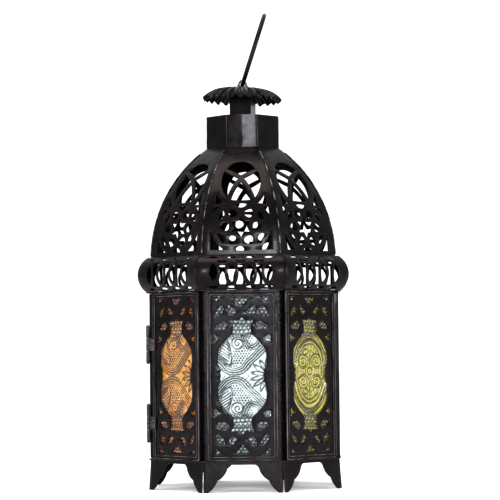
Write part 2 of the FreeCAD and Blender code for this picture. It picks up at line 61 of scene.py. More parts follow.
PANE_TINTS = {
    "front": "clear", "front_right": "green", "right": "red", "rear_right": "amber",
    "rear": "clear", "rear_left": "green", "left": "red", "front_left": "amber",
}


# ---- sizes, read from the frame ----
def box_mm(node):
    low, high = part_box(node)
    return [v / MM for v in low], [v / MM for v in high]


def on_door(kind, face):
    return face == DOOR_FACE and kind in ("frame", "fret", "glass")


def node_name(kind, face):
    return "door_" + kind if on_door(kind, face) else kind + "_" + face


def body_of(kind, face):
    return DOOR_BODY if on_door(kind, face) else FIXED_BODY


frame_low, frame_high = box_mm("frame_front")
FRAME_APOTHEM = -frame_low[1]
FRAME_HALF_WIDTH = frame_high[0]
FRAME_DEPTH = frame_high[1] - frame_low[1]
FRAME_MIDDLE = (frame_low[2] + frame_high[2]) / 2

fret_low, fret_high = box_mm("fret_front")
FRET_APOTHEM = -fret_low[1]
FRET_THICKNESS = fret_high[1] - fret_low[1]

glass_low, glass_high = box_mm("glass_front")
GLASS_APOTHEM = -glass_low[1]
GLASS_BACK = -glass_high[1]
GLASS_HALF_WIDTH = glass_high[0]
GLASS_HALF_HEIGHT = (glass_high[2] - glass_low[2]) / 2

# The thickness of the dome, collar and skirt sheets, and the arcs the first two are bent round:
# a radius, and a centre as (apothem, height). All are the CAD's own.
SHEET = 0.8
DOME_RADIUS = 107.6
DOME_CENTRE = (-38.4, 170.8)
COLLAR_RADIUS = 16.0
COLLAR_CENTRE = (62.9, 159.5)


# ---- repeatable unevenness ----
def waves(seed, lengths=(23.0, 37.0, 61.0)):
    """A smooth, repeatable wobble over a plane, of about unit height. Lengths are in mm."""
    rng = np.random.default_rng(seed)
    terms = []
    for length in lengths:
        heading = rng.uniform(0, 2 * math.pi)
        phase = rng.uniform(0, 2 * math.pi)
        pace = 2 * math.pi / length
        terms.append((pace * math.cos(heading), pace * math.sin(heading), phase))

    def height(u, v):
        return sum(np.sin(a * u + b * v + phase) for a, b, phase in terms) / len(terms)

    return height


# ---- materials ----
# Values that a mesh carries at each point: how much painted shade darkens glass, and how much painted
# highlight lightens paint.
PAINTED_GLASS_SHADE = "painted_glass_shade"
PAINTED_HIGHLIGHT = "painted_highlight"


def new_material(name):
    material = bpy.data.materials.new(name)
    material.use_nodes = True
    nodes = material.node_tree.nodes
    return material, nodes, material.node_tree.links, nodes["Principled BSDF"]


def noise_node(nodes, links, scale, detail=4.0, stretch=(1, 1, 1)):
    """A noise texture in object space. Its scale is in features per metre."""
    coords = nodes.new("ShaderNodeTexCoord")
    mapping = nodes.new("ShaderNodeMapping")
    mapping.inputs["Scale"].default_value = stretch
    noise = nodes.new("ShaderNodeTexNoise")
    noise.inputs["Scale"].default_value = scale
    noise.inputs["Detail"].default_value = detail
    links.new(coords.outputs["Object"], mapping.inputs["Vector"])
    links.new(mapping.outputs["Vector"], noise.inputs["Vector"])
    return noise


def ramp_node(nodes, links, source, stops):
    """A colour ramp fed by a grey socket. Stops are (position, colour)."""
    ramp = nodes.new("ShaderNodeValToRGB")
    while len(ramp.color_ramp.elements) < len(stops):
        ramp.color_ramp.elements.new(0.5)
    for element, (position, colour) in zip(ramp.color_ramp.elements, stops):
        element.position = position
        element.color = (*colour, 1)
    links.new(source, ramp.inputs["Fac"])
    return ramp


def range_node(nodes, links, source, low, high, from_low=0.3, from_high=0.7):
    node = nodes.new("ShaderNodeMapRange")
    node.inputs["From Min"].default_value = from_low
    node.inputs["From Max"].default_value = from_high
    node.inputs["To Min"].default_value = low
    node.inputs["To Max"].default_value = high
    links.new(source, node.inputs["Value"])
    return node


def bump_node(nodes, links, source, strength, distance, after=None):
    bump = nodes.new("ShaderNodeBump")
    bump.inputs["Strength"].default_value = strength
    bump.inputs["Distance"].default_value = distance
    links.new(source, bump.inputs["Height"])
    if after is not None:
        links.new(after.outputs["Normal"], bump.inputs["Normal"])
    return bump


def paint_material(name, base, high, worn_and_highlight_colour, roughness, wear=0.5):
    """Black paint on steel: cloudy colour, uneven gloss, orange peel, scuffed edges, and painted
    highlights where a mesh carries highlight values.
    """
    material, nodes, links, shader = new_material(name)
    cloud = noise_node(nodes, links, 38)
    colour = ramp_node(nodes, links, cloud.outputs["Fac"], [(0.35, base), (0.7, high)])
    geometry = nodes.new("ShaderNodeNewGeometry")
    scuffs = noise_node(nodes, links, 900, 3)
    edge = range_node(nodes, links, geometry.outputs["Pointiness"], 0, 1, 0.56, 0.68)
    patch = range_node(nodes, links, scuffs.outputs["Fac"], 0, wear, 0.45, 0.65)
    rub = nodes.new("ShaderNodeMath")
    rub.operation = "MULTIPLY"
    links.new(edge.outputs["Result"], rub.inputs[0])
    links.new(patch.outputs["Result"], rub.inputs[1])
    # Painted highlight: a mesh's highlight values lighten the paint towards its light colour, on bead
    # crests and seams.
    crest = nodes.new("ShaderNodeAttribute")
    crest.attribute_name = PAINTED_HIGHLIGHT
    wear_and_painted_highlight = nodes.new("ShaderNodeMath")
    wear_and_painted_highlight.operation = "MAXIMUM"
    links.new(rub.outputs["Value"], wear_and_painted_highlight.inputs[0])
    links.new(crest.outputs["Fac"], wear_and_painted_highlight.inputs[1])
    mix = nodes.new("ShaderNodeMix")
    mix.data_type = "RGBA"
    mix.inputs["B"].default_value = (*worn_and_highlight_colour, 1)
    links.new(wear_and_painted_highlight.outputs["Value"], mix.inputs["Factor"])
    links.new(colour.outputs["Color"], mix.inputs["A"])
    links.new(mix.outputs["Result"], shader.inputs["Base Color"])
    blotch = noise_node(nodes, links, 85)
    gloss = range_node(nodes, links, blotch.outputs["Fac"], roughness - 0.07, roughness + 0.12)
    links.new(gloss.outputs["Result"], shader.inputs["Roughness"])
    peel = noise_node(nodes, links, 1100, 2)
    dents = noise_node(nodes, links, 60, 2)
    coarse = bump_node(nodes, links, dents.outputs["Fac"], 0.55, 0.0009)
    fine = bump_node(nodes, links, peel.outputs["Fac"], 0.16, 0.0002, coarse)
    links.new(fine.outputs["Normal"], shader.inputs["Normal"])
    shader.inputs["Specular IOR Level"].default_value = 0.085
    shader.inputs["Coat Weight"].default_value = 0.05
    shader.inputs["Coat Roughness"].default_value = 0.1
    return material


def glass_material(name, pale, deep, shade):
    """Pressed glass: a tint that gathers in clouds, darkened by painted shade along the lines of its
    relief and over its margins.
    """
    material, nodes, links, shader = new_material(name)
    cloud = noise_node(nodes, links, 70)
    colour = ramp_node(nodes, links, cloud.outputs["Fac"], [(0.3, pale), (0.75, deep)])
    # Painted shade: the mesh's values darken the tint towards the shade colour.
    painted_shade = nodes.new("ShaderNodeAttribute")
    painted_shade.attribute_name = PAINTED_GLASS_SHADE
    mix = nodes.new("ShaderNodeMix")
    mix.data_type = "RGBA"
    mix.inputs["B"].default_value = (*shade, 1)
    links.new(painted_shade.outputs["Fac"], mix.inputs["Factor"])
    links.new(colour.outputs["Color"], mix.inputs["A"])
    links.new(mix.outputs["Result"], shader.inputs["Base Color"])
    ripple = noise_node(nodes, links, 420, 3)
    bump = bump_node(nodes, links, ripple.outputs["Fac"], 0.25, 0.0003)
    links.new(bump.outputs["Normal"], shader.inputs["Normal"])
    frost = range_node(nodes, links, ripple.outputs["Fac"], 0.04, 0.14)
    links.new(frost.outputs["Result"], shader.inputs["Roughness"])
    shader.inputs["Transmission Weight"].default_value = 0.5
    shader.inputs["IOR"].default_value = 1.46
    shader.inputs["Coat Weight"].default_value = 0.35
    shader.inputs["Coat Roughness"].default_value = 0.06
    return material


MATERIALS = {
    "black_paint": paint_material("black_paint", (0.0016, 0.0012, 0.0016), (0.006, 0.004, 0.0054),
                                  (0.17, 0.16, 0.165), 0.24, 0.12),
    "black_wire": paint_material("black_wire", (0.002, 0.002, 0.002), (0.005, 0.005, 0.005),
                                 (0.08, 0.08, 0.08), 0.34, 0.2),
    "hinge_steel": paint_material("hinge_steel", (0.004, 0.004, 0.005), (0.018, 0.018, 0.020),
                                  (0.26, 0.25, 0.26), 0.3, 0.4),
    "glass_clear": glass_material(
        "glass_clear", (0.86, 0.97, 0.98), (0.70, 0.86, 0.88), (0.01, 0.02, 0.022)),
    "glass_green": glass_material(
        "glass_green", (0.62, 0.55, 0.11), (0.40, 0.40, 0.035), (0.02, 0.018, 0.0)),
    "glass_amber": glass_material(
        "glass_amber", (0.80, 0.50, 0.10), (0.72, 0.25, 0.015), (0.05, 0.006, 0.0)),
    "glass_red": glass_material(
        "glass_red", (0.80, 0.07, 0.03), (0.55, 0.02, 0.015), (0.05, 0.0, 0.0)),
}


# ---- making pieces ----
def add_piece(name, mesh, body, slot, replaced, sharp_angle=35):
    """Puts a mesh that is already in place on a body, in its CAD nodes' stead."""
    for polygon in mesh.polygons:
        polygon.use_smooth = True
    mesh.set_sharp_from_angle(angle=math.radians(sharp_angle))
    mesh.materials.clear()
    mesh.materials.append(MATERIALS[slot])
    piece = bpy.data.objects.new(name, mesh)
    bpy.context.scene.collection.objects.link(piece)
    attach(piece, body)
    if replaced:
        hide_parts(*replaced)
    return piece


def give_values(mesh, name, values):
    """A number for every point of a mesh, for its material to read."""
    attribute = mesh.attributes.new(name, "FLOAT", "POINT")
    attribute.data.foreach_set("value", np.asarray(values, dtype=np.float32).ravel())


def mesh_from(name, points_mm, faces):
    mesh = bpy.data.meshes.new(name)
    mesh.from_pydata([tuple(p) for p in np.asarray(points_mm) * MM], [], faces)
    mesh.validate()
    return mesh


def to_face(points, index):
    """Turns front-face points about the lantern's axis to the numbered face."""
    c = math.cos(TURN * index)
    s = math.sin(TURN * index)
    turned = np.array(points, dtype=float)
    x = turned[:, 0].copy()
    y = turned[:, 1].copy()
    turned[:, 0] = c * x - s * y
    turned[:, 1] = s * x + c * y
    return turned


# ---- sheets cut from the frame's own outlines ----
def outline_loops(node, surface_distance, unroll):
    """The loops round a front sheet's outer side, laid out flat in mm.

    surface_distance gives how far points are from the outer surface, and unroll
    gives their place on the flat sheet.
    """
    mesh = frame["nodes"][node].data
    points = np.array([v.co for v in mesh.vertices]) / MM
    keys = {}
    ids = [keys.setdefault(tuple(np.round(p, 3)), len(keys)) for p in points]
    on_surface = np.abs(surface_distance(points)) < 0.01
    where = {}
    edges = {}
    for polygon in mesh.polygons:
        corners = list(polygon.vertices)
        if not all(on_surface[v] for v in corners):
            continue
        for a, b in zip(corners, corners[1:] + corners[:1]):
            where[ids[a]] = a
            edges[(ids[a], ids[b])] = True
    following = {a: b for a, b in edges if (b, a) not in edges}
    loops = []
    while following:
        start, here = following.popitem()
        loop = [start]
        while here != start:
            loop.append(here)
            here = following.pop(here)
        flat = unroll(points[[where[v] for v in loop]])
        loops.append(flat)
    return loops


def eased(loop, step=0.9):
    """A loop with its long sides divided and its corners eased by one corner-cutting pass."""
    dense = []
    for a, b in zip(loop, np.roll(loop, -1, axis=0)):
        count = max(1, int(math.ceil(np.linalg.norm(b - a) / step)))
        dense += [a + (b - a) * k / count for k in range(count)]
    dense = np.array(dense)
    ahead = np.roll(dense, -1, axis=0)
    cut = np.empty((2 * len(dense), 2))
    cut[0::2] = dense * 0.75 + ahead * 0.25
    cut[1::2] = dense * 0.25 + ahead * 0.75
    return cut


def die_cut_sheet(loops, thickness, cuts_across, cuts_up, rounding=0.16):
    """A flat sheet in the XY plane with holes and rounded edges, divided so that it can bend."""
    curve = bpy.data.curves.new("cut", "CURVE")
    curve.dimensions = "2D"
    curve.fill_mode = "BOTH"
    curve.extrude = thickness / 2 - rounding
    curve.bevel_depth = rounding
    curve.bevel_resolution = 1
    curve.offset = -rounding
    for loop in loops:
        points = eased(loop)
        spline = curve.splines.new("POLY")
        spline.points.add(len(points) - 1)
        spline.points.foreach_set("co", [c for x, y in points for c in (x, y, 0, 1)])
        spline.use_cyclic_u = True
    holder = bpy.data.objects.new("cut", curve)
    flat = bpy.data.meshes.new_from_object(holder)
    bpy.data.objects.remove(holder)
    work = bmesh.new()
    work.from_mesh(flat)
    bpy.data.meshes.remove(flat)
    bmesh.ops.remove_doubles(work, verts=work.verts, dist=0.001)
    for axis, values in ((0, cuts_across), (1, cuts_up)):
        for value in values:
            point = Vector((0, 0, 0))
            normal = Vector((0, 0, 0))
            point[axis] = value
            normal[axis] = 1
            geometry = work.verts[:] + work.edges[:] + work.faces[:]
            bmesh.ops.bisect_plane(work, geom=geometry, plane_co=point, plane_no=normal, dist=0.0005)
    bmesh.ops.recalc_face_normals(work, faces=work.faces)
    sheet = bpy.data.meshes.new("sheet")
    work.to_mesh(sheet)
    work.free()
    return sheet


def bent_copy(name, sheet, bend, index):
    """A copy of a flat sheet, bent by a function of its points and carried to a face."""
    mesh = sheet.copy()
    mesh.name = name
    points = np.empty(len(mesh.vertices) * 3)
    mesh.vertices.foreach_get("co", points)
    bent = to_face(bend(points.reshape(-1, 3)), index) * MM
    mesh.vertices.foreach_set("co", bent.ravel())
    mesh.update()
    return mesh


def curved_bend(radius, centre, thickness, uneven, amount):
    """Bends a flat sheet round an arc that bulges outwards over the front face."""
    centre_apothem, centre_z = centre

    def bend(points):
        x, arc, depth = points.T
        r = radius - thickness / 2 + depth + amount * uneven(x, arc)
        angle = arc / radius
        return np.column_stack([x, -(centre_apothem + r * np.cos(angle)), centre_z + r * np.sin(angle)])

    return bend


def arc_outline(node, radius, centre):
    centre_apothem, centre_z = centre

    def distance(points):
        return np.hypot(-points[:, 1] - centre_apothem, points[:, 2] - centre_z) - radius

    def unroll(points):
        angle = np.arctan2(points[:, 2] - centre_z, -points[:, 1] - centre_apothem)
        return np.column_stack([points[:, 0], radius * angle])

    return outline_loops(node, distance, unroll)


def make_domes():
    loops = arc_outline("dome_front", DOME_RADIUS, DOME_CENTRE)
    sheet = die_cut_sheet(loops, SHEET, np.arange(-24, 25, 8.0), np.arange(3, 98, 2.6))
    for index, face in enumerate(FACES):
        bend = curved_bend(DOME_RADIUS - 0.15, DOME_CENTRE, SHEET, waves(100 + index), 0.15)
        name = "dome_panel_" + face
        mesh = bent_copy(name, sheet, bend, index)
        add_piece(name, mesh, FIXED_BODY, "black_paint", ["dome_" + face])


def add_uneven_bead(name, places, outs, turn, seed, size):
    """A thin lumpy bead along a line over the front face, with a painted highlight in patches."""
    sides = 8
    across = np.array([1.0, 0, 0])
    uneven = waves(seed, (4, 7, 13))
    points = []
    for place, out in zip(places, outs):
        reach = size * (1 + 0.3 * uneven(place[2], place[0]))
        for k in range(sides):
            around = 2 * math.pi * k / sides
            points.append(place + reach * (math.cos(around) * out + math.sin(around) * across))
    points = np.array(points)
    last = sides * (len(places) - 1)
    faces = []
    for ring in range(0, last, sides):
        for k in range(sides):
            ahead = (k + 1) % sides
            faces.append((ring + k, ring + sides + k, ring + sides + ahead, ring + ahead))
    faces += [tuple(range(sides)), tuple(range(last + sides - 1, last - 1, -1))]
    mesh = mesh_from(name, to_face(points, turn), faces)
    # Painted highlight along the bead, in patches.
    give_values(mesh, PAINTED_HIGHLIGHT, 0.75 * np.clip(uneven(3 * points[:, 2], 0) + 0.2, 0, 1))
    add_piece(name, mesh, FIXED_BODY, "black_paint", [])


def make_dome_seams():
    """The folded edges where the dome's pieces meet, up each corner."""
    low_angle = 0.03
    high_angle = 0.855
    sunk = 0.1
    for index, face in enumerate(FACES):
        places = []
        outs = []
        for angle in np.linspace(low_angle, high_angle, 60):
            apothem = DOME_CENTRE[0] + DOME_RADIUS * math.cos(angle)
            z = DOME_CENTRE[1] + DOME_RADIUS * math.sin(angle)
            places.append(np.array([0, -(apothem - sunk) / math.cos(TURN / 2), z]))
            outs.append(np.array([0, -math.cos(angle), math.sin(angle)]))
        add_uneven_bead("dome_seam_" + face, places, outs, index + 0.5, 150 + index, 0.42)


def make_neck_seam():
    """The rough soldered edge of the neck's lap."""
    low, high = box_mm("neck_collar")
    margin = 1
    proud = 0.2
    sway = waves(170, (3, 5, 9))
    heights = np.linspace(low[2] + margin, high[2] - margin, 40)
    places = [np.array([0.3 + 0.25 * sway(z, 0.0), -(high[0] + proud), z]) for z in heights]
    outs = [np.array([0, -1.0, 0])] * len(places)
    add_uneven_bead("neck_seam", places, outs, 0, 171, 0.3)


def make_collars():
    loops = arc_outline("collar_front", COLLAR_RADIUS, COLLAR_CENTRE)
    sheet = die_cut_sheet(loops, SHEET, np.arange(-28, 29, 7.0), np.arange(-14, 17, 1.0))
    for index, face in enumerate(FACES):
        uneven = waves(200 + index, (19, 31))
        bend = curved_bend(COLLAR_RADIUS - 0.12, COLLAR_CENTRE, SHEET, uneven, 0.12)
        name = "collar_piece_" + face
        mesh = bent_copy(name, sheet, bend, index)
        add_piece(name, mesh, FIXED_BODY, "black_paint", ["collar_" + face])


def make_frets():
    loops = outline_loops(
        "fret_front", lambda p: p[:, 1] + FRET_APOTHEM,
        lambda p: np.column_stack([p[:, 0], p[:, 2] - FRAME_MIDDLE]))
    sheet = die_cut_sheet(loops, FRET_THICKNESS, np.arange(-20, 21, 5.0), np.arange(-56, 57, 8.0))
    for index, face in enumerate(FACES):
        uneven = waves(300 + index, (29, 47))

        def bend(points):
            x, up, depth = points.T
            sag = 0.05 * uneven(x, up)
            apothem = FRET_APOTHEM - FRET_THICKNESS / 2 + depth * 0.92 + sag
            return np.column_stack([x, -apothem, FRAME_MIDDLE + up])

        name = "fret_sheet_" + face
        mesh = bent_copy(name, sheet, bend, index)
        add_piece(name, mesh, body_of("fret", face), "black_paint", [node_name("fret", face)])


def make_skirt():
    """One cut sheet per face, flared a little towards the toes and open at the corners."""
    flare = 1.6
    toe_play = 0.35
    low, high = box_mm("foot_skirt")
    foot = -low[1]
    height = high[2]
    top = foot - flare
    slant = math.hypot(height, foot - top)
    outward = np.array([0, -height, foot - top]) / slant
    upward = np.array([0, foot - top, height]) / slant
    base = np.array([0, -foot, 0])
    loops = outline_loops(
        "foot_skirt", lambda p: (p - base) @ outward,
        lambda p: np.column_stack([p[:, 0], (p - base) @ upward]))
    sheet = die_cut_sheet(loops, SHEET, np.arange(-27, 28, 3.0), np.arange(2, 22, 4.0))
    for index, face in enumerate(FACES):
        uneven = waves(400 + index, (27, 43))

        def bend(points):
            x, up, depth = points.T
            toe_share = 1 - up / slant
            splay = toe_play * uneven(x, 0) * toe_share - toe_play * toe_share
            place = depth - SHEET / 2 + splay
            bent = base + np.outer(up, upward) + np.outer(place, outward)
            bent[:, 0] = x
            bent[:, 2] = np.maximum(bent[:, 2], 0.0)
            return bent

        name = "foot_skirt_" + face
        mesh = bent_copy(name, sheet, bend, index)
        add_piece(name, mesh, FIXED_BODY, "black_paint", ["foot_skirt"])


# ---- pressed frames ----
def rounded_rectangle(half_width, half_height, radius, per_side=14, per_corner=4):
    """Points round a rectangle with rounded corners, the same number whatever its size."""
    points = []
    corners = [(1, 1, 0), (-1, 1, 90), (-1, -1, 180), (1, -1, 270)]
    for k, (sx, sy, start) in enumerate(corners):
        centre = np.array([sx * (half_width - radius), sy * (half_height - radius)])
        for step in range(per_corner + 1):
            angle = math.radians(start + 90 * step / per_corner)
            points.append(centre + radius * np.array([math.cos(angle), math.sin(angle)]))
        next_sx, next_sy, next_start = corners[(k + 1) % 4]
        angle = math.radians(next_start)
        target = np.array([next_sx * (half_width - radius), next_sy * (half_height - radius)])
        target = target + radius * np.array([math.cos(angle), math.sin(angle)])
        last = points[-1]
        for step in range(1, per_side):
            points.append(last + (target - last) * step / per_side)
    return np.array(points)


# Across the frame's border, from the back of its flange over two rolled beads to its window,
# then back along its inner side: (inset from the outer edge, height above the face's plane).
FRAME_PROFILE = [
    (0.0, -4.8), (0.0, -2.6), (0.0, -0.9), (0.12, -0.35), (0.4, -0.06), (0.8, 0.0), (1.15, -0.15),
    (1.4, -0.42), (1.8, -0.5), (2.1, -0.3), (2.4, -0.08), (2.65, -0.06), (2.85, -0.25), (2.9, -0.78),
    (2.3, -0.78), (1.8, -1.0), (1.2, -0.95), (0.62, -1.2), (0.55, -2.6), (0.55, -4.8),
]
BEAD_CRESTS = (0.4, 2.65)
CORNER_RADIUS = 0.9
DOOR_BACK_GAP = 0.3


def make_frames():
    for index, face in enumerate(FACES):
        low, high = box_mm(node_name("frame", face))
        half_height = (high[2] - low[2]) / 2
        depth = FRAME_DEPTH - (DOOR_BACK_GAP if face == DOOR_FACE else 0.0)
        uneven = waves(500 + index, (17, 29, 53))
        painted_highlight = []
        rings = []
        for inset, rise in FRAME_PROFILE:
            ring = rounded_rectangle(FRAME_HALF_WIDTH - inset, half_height - inset, CORNER_RADIUS)
            wobble = uneven(ring[:, 0], ring[:, 1])
            if inset > 0.7 and rise > -0.7:
                ring = ring * (1 + 0.0022 * wobble[:, None])
            # Painted highlight on the two bead crests, in patches, for the paint to show as bright lines.
            crest = 1.0 if inset in BEAD_CRESTS else 0.0
            patches = uneven(3.1 * ring[:, 0], 2.3 * ring[:, 1])
            painted_highlight.append(crest * np.clip(0.5 + 0.75 * patches, 0, 1))
            rise = max(rise, -depth)
            lift = 0.09 * (wobble - 1) * (rise > -1)
            rings.append(np.column_stack([ring[:, 0], ring[:, 1], rise + lift]))
        count = len(rings[0])
        points = np.vstack(rings)
        faces = []
        for k in range(len(rings)):
            here = k * count
            there = (k + 1) % len(rings) * count
            for j in range(count):
                ahead = (j + 1) % count
                faces.append((here + j, here + ahead, there + ahead, there + j))
        outwards = -(FRAME_APOTHEM + points[:, 2])
        placed = np.column_stack([points[:, 0], outwards, FRAME_MIDDLE + points[:, 1]])
        name = "window_frame_" + face
        mesh = mesh_from(name, to_face(placed, index), faces)
        give_values(mesh, PAINTED_HIGHLIGHT, np.concatenate(painted_highlight))
        add_piece(name, mesh, body_of("frame", face), "black_paint", [node_name("frame", face)], 50)


# ---- embossed glass ----
def ridge(distance, width):
    """A rounded ridge of unit height along a line of zero distance."""
    return np.exp(-(distance / width) ** 2)


def inside(distance, softness=0.35):
    """1 within a shape, 0 outside it, with a soft edge. Distance is negative inside."""
    return 1 / (1 + np.exp(np.clip(distance / softness, -30, 30)))


def dots(x, z, pitch, radius):
    """A field of round beads in staggered rows."""
    row_share = 0.87
    row = np.round(z / (pitch * row_share))
    shift = (row % 2) * pitch / 2
    dx = x - shift - pitch * np.round((x - shift) / pitch)
    dz = z - row * pitch * row_share
    return np.exp(-((dx ** 2 + dz ** 2) / radius ** 2) ** 1.5)


def volute(x, z, centre, size, start, hand=1, turns=2.0):
    """A spiral scroll and how far each point is from the scroll's rim."""
    dx = (x - centre[0]) * hand
    dz = z - centre[1]
    r = np.hypot(dx, dz)
    angle = (np.arctan2(dz, dx) - start) % (2 * math.pi)
    pitch = size / turns
    along = r - pitch * angle / (2 * math.pi)
    off = along - pitch * np.round(along / pitch)
    scroll = ridge(off, 0.42) * inside(r - size, 0.2)
    return scroll, r - size


def ellipse_distance(x, z, centre, radii, tilt=0.0):
    c = math.cos(tilt)
    s = math.sin(tilt)
    dx = x - centre[0]
    dz = z - centre[1]
    u = (c * dx + s * dz) / radii[0]
    v = (-s * dx + c * dz) / radii[1]
    return (np.hypot(u, v) - 1) * min(radii)


def stroke_distance(x, z, points):
    """The distance from each place to a smooth line through given points."""
    knots = np.array([points[0], *points, points[-1]], dtype=float)
    line = []
    for a, b, c, d in zip(knots, knots[1:], knots[2:], knots[3:]):
        for t in np.linspace(0, 1, 6, endpoint=False):
            line.append(0.5 * (2 * b + (c - a) * t + (2 * a - 5 * b + 4 * c - d) * t ** 2
                               + (3 * b - a - 3 * c + d) * t ** 3))
    line.append(knots[-1])
    nearest = np.full(x.shape, 1e3)
    for a, b in zip(line, line[1:]):
        run = b - a
        length = max(run @ run, 1e-9)
        share = np.clip(((x - a[0]) * run[0] + (z - a[1]) * run[1]) / length, 0, 1)
        nearest = np.minimum(nearest, np.hypot(x - a[0] - share * run[0], z - a[1] - share * run[1]))
    return nearest


def medallion_relief(x, z):
    """Four scrolls about a ring, in a beaded oval with banded borders."""
    az = np.abs(z - 2.5)
    ax = np.abs(x)
    oval = ellipse_distance(x, az, (0, 0), (14.6, 23.5))
    height = ridge(oval, 0.5) + 0.9 * ridge(oval + 1.9, 0.42) + 0.9 * ridge(oval - 2.6, 0.5)
    height += 0.7 * ridge(oval - 4.3, 0.4)
    scroll, rim = volute(ax, az, (6.6, 7.4), 4.7, math.pi * 0.2)
    ring = np.hypot(x, az)
    height += scroll + 0.9 * ridge(rim - 0.5, 0.42)
    height += ridge(ring - 2.5, 0.48) + 0.7 * ridge(ring, 0.7)
    field = inside(oval + 2.9) * (1 - inside(rim - 1.2))
    field = field * (1 - inside(ring - 3.3)) * (1 - inside(ax - 1.0))
    row = np.floor(oval / 2.2)
    step = np.arctan2(az, x) * 17 + row * math.pi
    height += 0.95 * ridge(oval - 2.2 * row - 1.1, 0.62) * (0.5 + 0.5 * np.cos(2 * step)) * field
    height += 0.9 * ridge(ax, 0.42) * inside(oval + 2.2) * (1 - inside(ring - 4.0))
    hook = np.hypot(ax - 4.2, az - 14.6)
    height += 0.8 * ridge(hook - 2.3, 0.42) * inside(x)
    fan_line = [(0, 27.2), (4.2, 25.6), (9.5, 21.6), (15.0, 14.0), (17.6, 7.5)]
    fan = stroke_distance(ax, np.abs(z), fan_line)
    height += 0.85 * ridge(fan, 0.45) + 0.7 * ridge(fan - 1.5, 0.4)
    side = ellipse_distance(ax, az, (18.2, 0), (3.6, 5.6))
    height += 0.8 * ridge(side, 0.42) + 0.7 * ridge(side + 1.4, 0.36)
    neck = inside(-(np.abs(z) - 28.8), 0.4)
    return height * (1 - neck) + neck * scale_relief(x, np.abs(z))


def scale_relief(x, z):
    """Rows of overlapping scales between bands, for the ends of a pane."""
    pitch = 3.0
    rise = 2.3
    row = np.floor(z / rise)
    dx = x + (row % 2) * pitch / 2
    dx = dx - pitch * np.round(dx / pitch)
    dz = z - row * rise
    scale = ridge(np.hypot(dx, dz) - 1.45, 0.4)
    bands = ridge(np.abs(z - 30.0), 0.5) + ridge(np.abs(z - 37.2), 0.5)
    return 0.9 * scale + 0.9 * bands


def paisley_relief(x, z):
    """A swept double band over peacock leaves, each with a scroll and a beaded field."""
    az = np.abs(z)
    sweep_line = [(-19, 12), (-12, 4.4), (-5.7, 2.2), (0.5, 4.0), (6.5, 10.2), (18, 22)]
    sweep = stroke_distance(x, az, sweep_line)
    above = inside(-(az - np.interp(x, *zip(*sweep_line))), 0.3)
    height = ridge(sweep, 0.46) + ridge(sweep - 1.7, 0.42) + 0.8 * ridge(sweep - 3.2, 0.36) * above
    leaf_line = [(-8.6, 7.6), (-14.4, 11.4), (-17.2, 16.4), (-16, 21.5), (-11.6, 26.5),
                 (-8.9, 21), (-7.6, 14), (-8.6, 7.6)]
    leaf_centre = (-12.4, 16.8)
    leaf_tilt = -0.1
    leaf = stroke_distance(x, az, leaf_line)
    in_leaf = inside(ellipse_distance(x, az, leaf_centre, (4.2, 8.6), leaf_tilt), 0.2)
    height += ridge(leaf, 0.46) + 0.8 * ridge(leaf - 1.3, 0.32) * in_leaf
    height += 0.9 * in_leaf * (0.5 + 0.5 * np.cos((x * 0.62 + az * 0.95) * 3.1)) ** 2
    clear_of_leaf = 1 - inside(ellipse_distance(x, az, leaf_centre, (5.6, 10.2), leaf_tilt), 0.2)
    scroll, rim = volute(x, az, (-3.4, 23.6), 3.9, 0.6, -1, 1.6)
    height += scroll + 0.9 * ridge(rim - 0.4, 0.42)
    field = above * clear_of_leaf * (1 - inside(sweep - 4.2, 0.2)) * (1 - inside(rim - 1.2, 0.2))
    height += 0.95 * dots(x, az, 2.05, 0.72) * field * inside(x - 7.5, 0.8)
    second_line = [(1.0, 29.5), (1.8, 24.5), (5.4, 20.4), (10.0, 21.5), (13.5, 26.0)]
    second = stroke_distance(x, az, second_line)
    height += ridge(second, 0.46) + 0.8 * ridge(second - 1.6, 0.38)
    below = 1 - above
    flower_reach = 7.2
    for degrees in (92, 118, 144, 170):
        heading = math.radians(degrees)
        centre = (18.6 + flower_reach * math.cos(heading), 0.4 + flower_reach * math.sin(heading))
        petal = ellipse_distance(x, az, centre, (4.6, 1.35), heading)
        height += (0.95 * ridge(petal, 0.36) + 0.5 * inside(petal + 0.9, 0.2)) * below
    height += 0.5 * ridge((x + az * 0.8 + 4) % 3.4 - 1.7, 0.35) * below * inside(x - 8, 0.6)
    neck = inside(-(az - 29.8), 0.4)
    return height * (1 - neck) + neck * scale_relief(x, az)


RELIEFS = {
    "clear": paisley_relief, "amber": paisley_relief,
    "green": medallion_relief, "red": medallion_relief,
}
RELIEF_HEIGHT = 0.8
RELIEF_TOP = 1.1
PANE_CLEARANCE = 0.12
GLASS_STEP = 0.33
CARTOUCHE_REACH = 19.0
ENDS_FROM = 27.5


